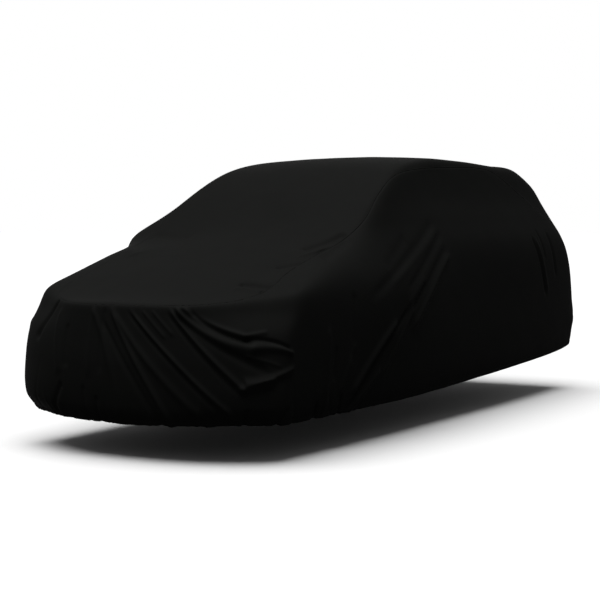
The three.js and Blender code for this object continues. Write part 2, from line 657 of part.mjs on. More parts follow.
const onTopEdge = (i, j) => {
  const width = 2 * END_STOPS;
  if (j === 0) return SEAM[END_STOPS + i].normal;
  if (j === width) return SEAM[3 * END_STOPS + 2 * SIDE_STOPS - i].normal;
  if (i === 0) return SEAM[(2 * HALF_STOPS + END_STOPS - j) % SEAM.length].normal;
  if (i === SIDE_STOPS) return SEAM[END_STOPS + SIDE_STOPS + j].normal;
  return null;
};
const top = topGrid();
const topNormals = gridNormals(top, false, onTopEdge);
addCloth("top_panel", sheet(top, topNormals, false), 0x0b0d0c);

const skirt = skirtGrid();
const skirtNormals = gridNormals(skirt, true, (i, j) => (j === 0 ? COLUMNS[i].normal : null));
addCloth("skirt_panel", sheet(skirt, skirtNormals, true), 0x0a0b0a);

// The support is the underside of the roof at its highest point on the middle line.
const crest = top.reduce((best, row, i) => (row[END_STOPS].z > top[best][END_STOPS].z ? i : best), 0);
const support = top[crest][END_STOPS].clone().addScaledVector(topNormals[crest][END_STOPS], -SHEET);
cover.children.forEach((mesh) => mesh.geometry.translate(-support.x, -support.y, -support.z));

export default cover;
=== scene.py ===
"""Fitted stretch-satin cover for a small hatchback, hanging as it does on the car, which is left out.

The cover has two sewn panels: a top panel over bonnet, windscreen, roof and tailgate glass, and a skirt panel
right round the car down to an elastic hem. Both follow one form, and folds push the cloth off that form.
All lengths are metres. The form is worked in car coordinates (x rearwards from the front axle, y to the car's
right, z up from the ground) and moved into the frame, whose origin is the support under the roof.
"""

import logging
import math
from dataclasses import dataclass, field
from enum import Enum

import bpy
import numpy as np
from mathutils import Matrix, Vector


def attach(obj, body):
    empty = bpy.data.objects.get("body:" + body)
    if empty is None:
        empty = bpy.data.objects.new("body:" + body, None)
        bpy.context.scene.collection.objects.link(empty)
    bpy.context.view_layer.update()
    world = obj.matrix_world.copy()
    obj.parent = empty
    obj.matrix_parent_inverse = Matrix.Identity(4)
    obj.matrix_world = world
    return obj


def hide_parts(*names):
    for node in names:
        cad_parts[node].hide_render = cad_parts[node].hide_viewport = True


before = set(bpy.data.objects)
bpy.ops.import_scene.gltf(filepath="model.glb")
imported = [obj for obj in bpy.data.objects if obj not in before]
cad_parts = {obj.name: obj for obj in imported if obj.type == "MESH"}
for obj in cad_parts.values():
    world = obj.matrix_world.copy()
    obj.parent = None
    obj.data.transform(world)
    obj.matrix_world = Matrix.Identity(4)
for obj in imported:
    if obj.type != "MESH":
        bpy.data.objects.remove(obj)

LOG = logging.getLogger("car_cover")

CarPoints = np.ndarray  # car coordinates on the last axis
ORIGIN = np.array([1.74409, 0.0, 1.49868])  # the support under the roof, in car coordinates
GROUND_Z = -float(ORIGIN[2])
SHORTEST = 1e-12  # keeps a vector of no length from dividing by zero


class Panel(Enum):
    """The two cut pieces of the cover, by the CAD node each one stands for."""

    TOP = "top_panel"
    SKIRT = "skirt_panel"


class Table:
    """A smooth curve through a short table, held level beyond its ends."""

    def __init__(self, *rows: tuple[float, float]) -> None:
        """Keeps the rows and their slopes.

        Args:
            rows: (place, value) pairs in order of place.
        """
        data = np.array(rows, float)
        self.x, self.y = data[:, 0], data[:, 1]
        before = np.r_[0, np.arange(len(self.x) - 1)]
        after = np.r_[np.arange(1, len(self.x)), len(self.x) - 1]
        self.slope = (self.y[after] - self.y[before]) / (self.x[after] - self.x[before])

    def at(self, place: np.ndarray | float) -> np.ndarray:
        """Reads the curve.

        Args:
            place: where to read it.

        Returns:
            The value at each place.
        """
        x = np.clip(place, self.x[0], self.x[-1])
        i = np.clip(np.searchsorted(self.x, x, side="right") - 1, 0, len(self.x) - 2)
        span = self.x[i + 1] - self.x[i]
        t = (x - self.x[i]) / span
        u = 1 - t
        ends = u * u * (1 + 2 * t) * self.y[i] + t * t * (3 - 2 * t) * self.y[i + 1]
        return ends + span * t * u * (u * self.slope[i] - t * self.slope[i + 1])


def smooth(x: np.ndarray | float, low: float, high: float) -> np.ndarray:
    """Eases values from 0 at low to 1 at high."""
    t = np.clip((np.asarray(x, float) - low) / (high - low), 0, 1)
    return t * t * (3 - 2 * t)


def unit(v: np.ndarray) -> np.ndarray:
    """Scales vectors on the last axis to length one."""
    return v / np.maximum(np.linalg.norm(v, axis=-1, keepdims=True), SHORTEST)


@dataclass(frozen=True)
class Swell:
    """A rounded swelling of the cloth's side, with its own reach each way."""

    x: float
    z: float
    out: float
    ahead: float
    behind: float
    above: float
    below: float

    def at(self, x: np.ndarray, z: np.ndarray) -> np.ndarray:
        """Reads the swelling.

        Args:
            x: rearwards.
            z: up from the ground.

        Returns:
            How far it stands out.
        """
        long = np.where(x < self.x, self.ahead, self.behind)
        tall = np.where(z > self.z, self.above, self.below)
        return self.out * np.exp(-(((x - self.x) / long) ** 2) - ((z - self.z) / tall) ** 2)


@dataclass
class CarForm:
    """The shape that the cloth is stretched over, and the way it is walked.

    A place on it is (s, tilt): s runs round the car from the middle of the nose, positive along the car's
    left side, and tilt is the angle from straight up at an inner line along the middle of the car.

    Many sizes and table values here, and in the skirt's hem line, come from a least-squares fit rounded to a
    millimetre. The rest were set one by one.
    """

    nose: float = -0.704
    tail: float = 3.299
    half_width: float = 0.834
    nose_sweep: float = 0.299  # how far the nose falls back from its middle to its corners
    nose_sweep_power: float = 2.6
    tail_sweep: float = 0.054
    tail_sweep_power: int = 3
    taper_front: float = 0.067  # how far each side draws in towards the nose
    taper_rear: float = 0.059
    taper_power: int = 3
    crown: float = 0.050  # how far the top falls from its middle to its sides
    top_weight: float = 0.85  # share at which the top face counts, since it leans
    corner_start: float = 0.3  # share of the half width where the nose starts to pass from middle to corner
    corner_end: float = 0.8
    left_swells: tuple[Swell, ...] = (
        Swell(0.700, 0.740, 0.040, 0.600, 0.600, 0.260, 0.400),
        Swell(0.450, 1.060, -0.065, 0.800, 0.450, 0.200, 0.200),
    )
    right_swells: tuple[Swell, ...] = (Swell(0.618, 1.022, 0.105, 0.150, 0.230, 0.105, 0.380),)
    blend_line: Table = Table(
        (-0.600, 0.009), (-0.250, 0.022), (0.000, 0.042), (0.350, 0.050), (0.700, 0.030), (0.950, 0.018),
        (2.600, 0.019), (3.200, 0.030),
    )  # (x, softness of the edges between the faces)
    top_line: Table = Table(
        (-0.800, 0.728), (-0.500, 0.778), (-0.200, 0.875), (0.150, 0.989), (0.450, 1.085), (0.800, 1.298),
        (1.100, 1.435), (1.500, 1.496), (2.000, 1.496), (2.500, 1.474), (2.800, 1.461), (3.050, 1.370),
        (3.400, 1.234),
    )  # (x, z) along the middle: bonnet, windscreen, roof, tailgate
    nose_line: Table = Table(
        (0.100, 0.150), (0.190, 0.060), (0.270, -0.002), (0.450, 0.004), (0.600, 0.040), (0.720, 0.120),
        (0.850, 0.172), (1.100, 0.240),
    )  # (z, set-back) at the nose corners
    nose_middle: Table = Table(
        (0.100, 0.115), (0.180, 0.040), (0.260, 0.004), (0.450, 0.000), (0.600, 0.022), (0.700, 0.043),
        (0.800, 0.066), (1.100, 0.150),
    )  # (z, set-back) in the middle of the nose
    side_line: Table = Table(
        (0.100, 0.077), (0.250, 0.014), (0.450, -0.004), (0.700, 0.004), (0.880, 0.019), (1.000, 0.049),
        (1.120, 0.110), (1.250, 0.181), (1.400, 0.245), (1.500, 0.280),
    )  # (z, set-back) at the sides
    tail_line: Table = Table(
        (0.100, 0.140), (0.250, 0.060), (0.400, 0.009), (0.600, 0.001), (0.800, 0.022), (0.950, 0.067),
        (1.150, 0.163), (1.400, 0.219),
    )  # (z, set-back) at the tail
    pivot_z: float = 0.550  # height of the inner line
    spine: float = 0.72  # length of the inner line, as a share of the car's
    plan_power: float = 5.0  # squareness of the plan outline that s is measured along
    plan_stops: int = 4001
    probe: float = 0.001  # step at which slopes are read
    ray_length: float = 3.2
    halvings: int = 26

    def __post_init__(self) -> None:
        """Lays out the plan outline that s is measured along."""
        self.mid_x = (self.nose + self.tail) / 2
        self.half_length = (self.tail - self.nose) / 2
        angle = np.linspace(0, math.pi, self.plan_stops)
        c, e = np.cos(angle), 2 / self.plan_power
        self.plan_x = self.mid_x - self.half_length * np.sign(c) * np.abs(c) ** e
        self.plan_y = -self.half_width * np.abs(np.sin(angle)) ** e
        self.plan_s = np.r_[0, np.cumsum(np.hypot(np.diff(self.plan_x), np.diff(self.plan_y)))]
        self.round = 2 * float(self.plan_s[-1])

    def value(self, x: np.ndarray, y: np.ndarray, z: np.ndarray) -> np.ndarray:
        """Signed distance-like value of the form.

        Args:
            x: rearwards.
            y: to the car's right.
            z: up from the ground.

        Returns:
            Negative inside, zero on the cloth, positive outside.
        """
        across = np.abs(y) / self.half_width
        along = (x - self.mid_x) / self.half_length
        left = sum(swell.at(x, z) for swell in self.left_swells)
        bulge = np.where(y < 0, left, sum(swell.at(x, z) for swell in self.right_swells))
        half = self.half_width + bulge - self.side_line.at(z)
        half = half - self.taper_front * np.clip(-along, 0, None) ** self.taper_power
        half = half - self.taper_rear * np.clip(along, 0, None) ** self.taper_power
        corner = smooth(across, self.corner_start, self.corner_end)
        set_back = corner * self.nose_line.at(z) + (1 - corner) * self.nose_middle.at(z)
        faces = np.stack(
            [
                (z - self.top_line.at(x) + self.crown * across**2) * self.top_weight,
                np.abs(y) - half,
                self.nose + set_back + self.nose_sweep * across**self.nose_sweep_power - x,
                x - self.tail + self.tail_line.at(z) + self.tail_sweep * across**self.tail_sweep_power,
            ]
        )
        soft = self.blend_line.at(x)
        most = faces.max(axis=0)
        return most + soft * np.log(np.exp((faces - most) / soft).sum(axis=0))

    def value_at(self, p: CarPoints) -> np.ndarray:
        """Value of the form at points in car coordinates."""
        return self.value(*np.moveaxis(p, -1, 0))

    def slope(self, p: CarPoints) -> np.ndarray:
        """How fast the value grows along each axis, at points in car coordinates."""
        grown = [self.value_at(p + step) - self.value_at(p - step) for step in np.eye(3) * self.probe]
        return np.stack(grown, axis=-1) / (2 * self.probe)

    def outward(self, p: CarPoints) -> np.ndarray:
        """Outward direction of the form, as a unit vector for each point."""
        return unit(self.slope(p))

    def meet(self, pivot_x: np.ndarray, direction: np.ndarray) -> CarPoints:
        """Where rays from the inner line meet the form.

        Args:
            pivot_x: place of each ray's start along the inner line.
            direction: unit direction of each ray.

        Returns:
            Points on the form.
        """
        start = np.stack([pivot_x, np.zeros_like(pivot_x), np.full_like(pivot_x, self.pivot_z)], axis=-1)
        near, far = np.zeros_like(pivot_x), np.full_like(pivot_x, self.ray_length)
        for _ in range(self.halvings):
            r = (near + far) / 2
            inside = self.value_at(start + direction * r[..., None]) < 0
            near, far = np.where(inside, r, near), np.where(inside, far, r)
        return start + direction * ((near + far) / 2)[..., None]

    def settle(self, p: CarPoints) -> CarPoints:
        """Moves points that are already near the form onto it, by one step along the slope."""
        slope = self.slope(p)
        return p - slope * (self.value_at(p) / (slope**2).sum(axis=-1))[..., None]

    def place(self, s: np.ndarray, tilt: np.ndarray) -> CarPoints:
        """Points of the form at (s, tilt).

        Args:
            s: metres round the car from the middle of the nose.
            tilt: degrees from straight up.

        Returns:
            Points on the form.
        """
        at = np.clip(np.abs(s), 0, self.round / 2)
        x = np.interp(at, self.plan_s, self.plan_x)
        y = np.interp(at, self.plan_s, self.plan_y) * np.where(s < 0, -1, 1)
        pivot = self.mid_x + (x - self.mid_x) * self.spine
        level = unit(np.stack([x - pivot, y], axis=-1))
        a = np.radians(tilt)
        way = np.stack([level[..., 0] * np.sin(a), level[..., 1] * np.sin(a), np.cos(a)], axis=-1)
        return self.meet(pivot, way)


@dataclass(frozen=True)
class Fold:
    """One fold, from a start to an end on a panel, standing out from the form or sunk into it."""

    u0: float
    v0: float
    u1: float
    v1: float
    bow: float  # how far its middle stands aside of the straight line
    wide_start: float
    wide_end: float
    out: float
    start_ease: float = 0.12  # share of its length over which it rises
    end_ease: float = 0.15

    def rise(self, u: np.ndarray, v: np.ndarray, wrap: float = 0.0) -> np.ndarray:
        """Height of the fold.

        Args:
            u: first coordinate of each point.
            v: second coordinate of each point.
            wrap: length after which u repeats, or 0.

        Returns:
            The shift of the cloth at each point.
        """
        du, dv = self.u1 - self.u0, self.v1 - self.v0
        length = math.hypot(du, dv)
        a, b = u - self.u0, v - self.v0
        if wrap:
            a = np.mod(a + wrap / 2, wrap) - wrap / 2
        along = np.clip((a * du + b * dv) / length**2, 0, 1)
        across = (b * du - a * dv) / length - self.bow * 4 * along * (1 - along)
        wide = self.wide_start + (self.wide_end - self.wide_start) * along
        ends = smooth(along, 0, self.start_ease) * smooth(1 - along, 0, self.end_ease)
        return self.out * ends * np.exp(-((across / wide) ** 2))


# Folds of the skirt in (s, height): the same ones as in the solids.
SKIRT_FOLDS = (
    # nose: long thin folds that fan from the bonnet edge to the car's front left corner
    Fold(-0.600, 0.760, -0.690, 0.540, 0.000, 0.014, 0.024, -0.012),
    Fold(-0.500, 0.720, -0.385, 0.380, 0.000, 0.020, 0.030, 0.006),
    Fold(-0.365, 0.650, -0.335, 0.420, 0.000, 0.018, 0.024, -0.005),
    Fold(-0.178, 0.740, -0.165, 0.380, 0.000, 0.014, 0.018, 0.004),
    Fold(-0.102, 0.740, -0.095, 0.400, 0.000, 0.014, 0.018, -0.004),
    Fold(-0.205, 0.745, 0.020, 0.160, 0.060, 0.014, 0.024, 0.007),
    Fold(-0.075, 0.745, 0.375, 0.100, 0.008, 0.012, 0.018, 0.011),
    Fold(-0.125, 0.690, 0.300, 0.110, 0.014, 0.012, 0.018, -0.006),
    Fold(-0.065, 0.745, 0.640, 0.110, -0.028, 0.012, 0.026, 0.008),
    Fold(0.030, 0.730, 0.700, 0.145, 0.000, 0.009, 0.013, -0.006),
    Fold(0.050, 0.735, 0.720, 0.165, 0.000, 0.009, 0.013, 0.009),
    Fold(0.140, 0.722, 0.300, 0.585, 0.000, 0.007, 0.009, 0.004),
    Fold(0.200, 0.722, 0.345, 0.600, 0.000, 0.007, 0.010, 0.004),
    Fold(0.285, 0.722, 0.700, 0.305, 0.000, 0.009, 0.012, -0.006),
    Fold(0.300, 0.740, 0.725, 0.320, 0.000, 0.010, 0.014, 0.012),
    Fold(0.330, 0.715, 0.830, 0.420, -0.008, 0.013, 0.022, -0.012),
    Fold(0.330, 0.755, 0.800, 0.540, -0.055, 0.013, 0.034, 0.015),
    Fold(0.715, 0.540, 0.945, 0.512, 0.022, 0.026, 0.011, 0.013),
    Fold(0.425, 0.725, 0.760, 0.568, -0.018, 0.011, 0.014, -0.015),
    Fold(0.690, 0.585, 0.930, 0.530, 0.024, 0.009, 0.008, -0.011),
    Fold(0.360, 0.755, 0.740, 0.592, -0.018, 0.012, 0.016, 0.012),
    Fold(0.690, 0.600, 0.820, 0.622, 0.000, 0.009, 0.009, 0.006),
    Fold(0.690, 0.516, 0.870, 0.458, 0.004, 0.007, 0.007, 0.004),
    Fold(0.650, 0.345, 0.950, 0.462, 0.000, 0.018, 0.010, 0.015),
    Fold(0.685, 0.385, 0.840, 0.402, 0.000, 0.022, 0.016, 0.016),
    # short puckers at the nose hem
    Fold(0.705, 0.270, 0.714, 0.110, 0.000, 0.011, 0.013, -0.009),
    Fold(0.905, 0.270, 0.820, 0.120, 0.000, 0.012, 0.014, -0.010),
    Fold(-0.115, 0.310, -0.138, 0.110, 0.000, 0.012, 0.014, -0.006),
    Fold(-0.360, 0.360, -0.490, 0.190, 0.000, 0.016, 0.018, -0.008),
    Fold(-0.200, 0.360, -0.206, 0.120, 0.000, 0.012, 0.014, -0.005),
    # left side, fanning down from behind the door mirror to the front wheel
    Fold(1.860, 0.625, 1.400, 0.250, -0.020, 0.016, 0.020, 0.015),
    Fold(1.700, 0.385, 1.400, 0.165, 0.000, 0.014, 0.016, 0.011),
    Fold(2.000, 0.690, 1.390, 0.190, -0.016, 0.013, 0.015, -0.012),
    Fold(2.560, 0.985, 2.000, 0.640, -0.020, 0.014, 0.012, -0.007),
    Fold(2.590, 0.950, 1.990, 0.540, -0.030, 0.014, 0.018, 0.014),
    Fold(2.050, 0.700, 1.690, 0.320, 0.000, 0.010, 0.012, 0.008),
    Fold(2.200, 0.800, 1.990, 0.650, 0.000, 0.009, 0.009, -0.006),
    Fold(2.200, 0.830, 1.960, 0.690, 0.000, 0.009, 0.009, 0.006),
    Fold(2.560, 1.130, 1.570, 0.728, 0.000, 0.026, 0.026, -0.008),
    Fold(2.560, 1.095, 1.800, 0.790, 0.000, 0.018, 0.018, 0.005),
    Fold(2.580, 1.070, 1.960, 0.755, -0.004, 0.018, 0.018, -0.008),
    Fold(2.140, 1.040, 1.810, 0.880, 0.000, 0.026, 0.028, -0.005),
    Fold(1.460, 0.790, 1.410, 0.420, 0.000, 0.022, 0.022, -0.006),
    Fold(1.450, 0.540, 1.310, 0.270, 0.000, 0.015, 0.017, 0.006),
    Fold(1.220, 0.640, 1.190, 0.120, 0.000, 0.016, 0.020, 0.007),
    Fold(1.278, 0.530, 1.262, 0.350, 0.000, 0.014, 0.014, -0.005),
    Fold(1.130, 0.270, 1.128, 0.110, 0.000, 0.012, 0.014, -0.011),
    Fold(1.338, 0.290, 1.330, 0.110, 0.000, 0.012, 0.014, -0.008),
    Fold(3.860, 1.020, 3.965, 0.620, 0.000, 0.013, 0.016, -0.009),
    Fold(3.905, 1.010, 4.000, 0.640, 0.000, 0.013, 0.016, 0.005),
    Fold(3.988, 1.060, 4.002, 0.860, 0.000, 0.012, 0.012, -0.005),
    Fold(4.150, 1.040, 4.150, 0.740, 0.000, 0.015, 0.017, -0.007),
    Fold(1.700, 1.065, 1.300, 0.950, 0.000, 0.016, 0.016, 0.008),
    Fold(1.660, 1.030, 1.340, 0.940, 0.000, 0.014, 0.014, -0.006),
    # nose and right side, running down to the car's front right corner and wheel
    Fold(-0.905, 0.660, -1.010, 0.300, 0.000, 0.018, 0.022, 0.006),
    Fold(-1.010, 0.560, -1.090, 0.240, 0.000, 0.016, 0.020, -0.005),
    Fold(-2.520, 0.980, -1.480, 0.230, 0.000, 0.018, 0.022, 0.010),
    Fold(-2.500, 0.930, -1.440, 0.170, 0.000, 0.014, 0.020, -0.009),
    Fold(-2.500, 1.060, -1.700, 0.760, 0.000, 0.028, 0.026, -0.008),
    Fold(-2.160, 0.700, -1.600, 0.330, 0.010, 0.015, 0.020, 0.007),
    Fold(-1.250, 0.600, -1.215, 0.120, 0.000, 0.018, 0.020, 0.007),
    Fold(-1.410, 0.560, -1.330, 0.220, 0.000, 0.016, 0.018, 0.006),
    Fold(-1.150, 0.270, -1.146, 0.110, 0.000, 0.012, 0.014, -0.009),
    Fold(-3.900, 1.000, -3.965, 0.600, 0.000, 0.015, 0.018, -0.008),
    Fold(-4.170, 1.020, -4.160, 0.720, 0.000, 0.015, 0.017, -0.006),
    # tail
    Fold(4.620, 0.980, 4.420, 0.380, 0.015, 0.024, 0.030, 0.008),
    Fold(-4.650, 0.980, -4.380, 0.400, -0.015, 0.024, 0.032, 0.008),
    Fold(4.950, 0.960, 4.780, 0.340, 0.000, 0.024, 0.030, -0.007),
    Fold(-4.960, 0.930, -4.830, 0.420, 0.000, 0.022, 0.028, -0.006),
)

# Folds of the top panel in plan (x, y): the same ones as in the solids.
TOP_FOLDS = (
    Fold(-0.277, -0.430, -0.284, -0.655, 0.000, 0.020, 0.024, -0.017),
    Fold(-0.335, -0.440, -0.345, -0.645, 0.000, 0.018, 0.018, 0.008),
    Fold(0.200, -0.500, 0.490, -0.600, 0.000, 0.030, 0.026, -0.018),
    Fold(0.090, -0.545, 0.330, -0.640, 0.000, 0.016, 0.018, 0.009),
    Fold(-0.060, -0.500, 0.080, -0.645, 0.000, 0.020, 0.022, -0.012),
    Fold(0.345, 0.300, 0.450, 0.640, 0.000, 0.050, 0.038, -0.008),
    Fold(0.090, 0.460, 0.270, 0.680, 0.000, 0.036, 0.040, 0.006),
    Fold(0.520, -0.250, 0.760, 0.120, 0.040, 0.110, 0.110, -0.009),
)


@dataclass
class SeamStops:
    """Stops on the seam."""

    s: np.ndarray
    tilt: np.ndarray
    point: np.ndarray
    normal: np.ndarray
    down: np.ndarray


@dataclass
class SeamLine:
    """The seam that joins the two panels, read at any places round the car.

    Its angles were worked out by a script from picked seam points, and some were then moved by hand.
    """

    form: CarForm
    line: Table = Table(
        (0.0, 68.8), (0.300, 70.6), (0.600, 72.2), (0.740, 72.4), (0.895, 70.2), (1.094, 63.5),
        (1.324, 58.5), (1.600, 54.0), (1.850, 48.2), (2.056, 40.9), (2.285, 35.9), (2.600, 33.9),
        (3.165, 33.4), (3.700, 34.5), (3.912, 38.4), (4.134, 46.0), (4.300, 54.4), (4.430, 58.4),
        (4.600, 56.1), (4.900, 49.3), (5.175, 46.7),
    )  # (s, tilt)

    def walk(self, s: np.ndarray) -> SeamStops:
        """Places stops on the seam, with their outward directions and the directions down onto the skirt.

        Args:
            s: places round the whole car, in order.

        Returns:
            The stops.
        """
        tilt = self.line.at(np.abs(s))
        point = self.form.place(s, tilt)
        normal = self.form.outward(point)
        back = unit(point - np.roll(point, 1, axis=0))
        ahead = unit(np.roll(point, -1, axis=0) - point)
        down = unit(np.cross(normal, back + ahead))
        return SeamStops(s, tilt, point, normal, np.where(down[:, 2:] > 0, -down, down))


@dataclass
class ClothNet:
    """A net of points on a panel, with its flat coordinates, and the strips turned under at its rim."""

    points: np.ndarray
    guide: np.ndarray
    flat: np.ndarray
    wraps: bool
    turned: list[np.ndarray] = field(default_factory=list)

    def faces(self) -> np.ndarray:
        """Numbers the corners of every face: the net's squares, then those of the turned strips.

        Returns:
            Four vertex numbers for each face.
        """
        n, m = self.points.shape[:2]
        lines = n if self.wraps else n - 1
        i, j = np.meshgrid(np.arange(lines), np.arange(m - 1), indexing="ij")
        a, b = i * m + j, ((i + 1) % n) * m + j
        quads = [np.stack([a, a + 1, b + 1, b], axis=-1).reshape(-1, 4)]
        inner = self.rim()
        start = n * m
        for strip in self.turned:
            outer = start + np.arange(len(strip))
            quads.append(np.stack([inner, outer, np.roll(outer, -1), np.roll(inner, -1)], axis=-1))
            inner, start = outer, start + len(strip)
        return np.concatenate(quads)

    def rim(self) -> np.ndarray:
        """Numbers the vertices round the edge of a net that doesn't wrap.

        Returns:
            The vertex numbers, once round.
        """
        n, m = self.points.shape[:2]
        grid = np.arange(n * m).reshape(n, m)
        return np.concatenate([grid[:, 0], grid[-1, 1:], grid[-2::-1, -1], grid[0, -2:0:-1]])

    def outward_faces(self, co: np.ndarray) -> np.ndarray:
        """Turns the faces so that they look the way the net's guide points.

        Args:
            co: the place of every vertex.

        Returns:
            Four vertex numbers for each face, in turning order.
        """
        faces = self.faces()
        guide = self.guide.reshape(-1, 3)
        corner = [co[faces[:, k]] for k in range(4)]
        facing = np.cross(corner[2] - corner[0], corner[3] - corner[1])[: len(guide)]
        if (facing * guide[faces[: len(facing), 0]]).sum() < 0:
            faces = faces[:, ::-1]
        return faces

    def mesh(self, name: str) -> bpy.types.Mesh:
        """Makes the smooth mesh of the net.

        Args:
            name: the name of the mesh.

        Returns:
            A mesh with a UV map in metres along the cloth.
        """
        rim_flat = self.flat.reshape(-1, 2)[self.rim()]
        co = np.concatenate([self.points.reshape(-1, 3), *self.turned]) - ORIGIN
        flat = np.concatenate([self.flat.reshape(-1, 2)] + [rim_flat] * len(self.turned))
        faces = self.outward_faces(co)
        mesh = bpy.data.meshes.new(name)
        mesh.vertices.add(len(co))
        mesh.vertices.foreach_set("co", co.ravel().astype(np.float32))
        mesh.loops.add(faces.size)
        mesh.loops.foreach_set("vertex_index", faces.ravel().astype(np.int32))
        mesh.polygons.add(len(faces))
        mesh.polygons.foreach_set("loop_start", np.arange(0, faces.size, 4, dtype=np.int32))
        mesh.update(calc_edges=True)
        layer = mesh.uv_layers.new(name="cloth")
        layer.data.foreach_set("uv", flat[faces.ravel()].ravel().astype(np.float32))
        mesh.polygons.foreach_set("use_smooth", np.ones(len(faces), bool))
        return mesh

    def area(self) -> float:
        """Measures the net, without the strips turned under at its rim.

        Returns:
            Its area in square metres.
        """
        p = np.concatenate([self.points, self.points[:1]]) if self.wraps else self.points
        d1, d2 = p[1:, 1:] - p[:-1, :-1], p[:-1, 1:] - p[1:, :-1]
        return float(np.linalg.norm(np.cross(d1, d2), axis=-1).sum() / 2)


@dataclass(frozen=True)
class Puckers:
    """Short uneven gathers across an edge of the cloth, drawn in by its stitching or elastic."""

    seed: int
    step: float
    wide: float
    long: float
    deep: float
    scatter: float = 0.42  # share of a step by which a gather strays
    wide_shares: tuple[float, float] = (0.6, 1.5)
    long_shares: tuple[float, float] = (0.4, 1.6)
    deep_shares: tuple[float, float] = (-1.0, 0.9)
    steepest_lean: float = 0.35
    reach_in_widths: float = 4.0  # beyond these a gather is too shallow to count
    reach_in_lengths: float = 0.4

    def rise(self, s: np.ndarray, off: np.ndarray, length: float) -> np.ndarray:
        """Height of the gathers.

        Args:
            s: place along the edge.
            off: distance from the edge.
            length: length of the edge.

        Returns:
            The shift of the cloth at each point.
        """
        draw = np.random.default_rng(self.seed)
        count = int(length / self.step)
        place = np.arange(count) + draw.uniform(-self.scatter, self.scatter, count)
        place = place * self.step - length / 2
        wide = self.wide * draw.uniform(*self.wide_shares, count)
        tall = self.long * draw.uniform(*self.long_shares, count)
        deep = self.deep * draw.uniform(*self.deep_shares, count)
        lean = draw.uniform(-self.steepest_lean, self.steepest_lean, count)
        total = np.zeros_like(s)
        for k in range(count):
            near = np.mod(s[:, 0] - place[k] + length / 2, length) - length / 2
            touched = np.abs(near) < self.reach_in_widths * wide[k] + self.reach_in_lengths * tall[k]
            across = (near[touched, None] - lean[k] * off[touched]) / wide[k]
            total[touched] += deep[k] * np.exp(-(across**2) - (off[touched] / tall[k]) ** 2)
        return total


@dataclass(frozen=True)
class Ripple:
    """Broad uneven ripple of hung cloth, as a sum of slow waves."""

    seed: int
    height: float = 0.0009
    waves: int = 14
    wave_lengths: tuple[float, float] = (0.16, 0.70)
    phases: tuple[float, float] = (0.0, 6.28)

    def rise(self, points: CarPoints) -> np.ndarray:
        """Height of the ripple.

        Args:
            points: points in car coordinates.

        Returns:
            The shift of the cloth at each point.
        """
        draw = np.random.default_rng(self.seed)
        total = np.zeros(points.shape[:-1])
        for _ in range(self.waves):
            wave = 2 * math.pi / draw.uniform(*self.wave_lengths)
            way = unit(draw.normal(size=3))
            total += np.sin(wave * (points @ way) + draw.uniform(*self.phases)) / self.waves**0.5
        return self.height * total


@dataclass(frozen=True)
class Lip:
    """One line of an edge that is turned under: how far inside the cloth it lies, and how far along it."""

    inside: float
    along: float


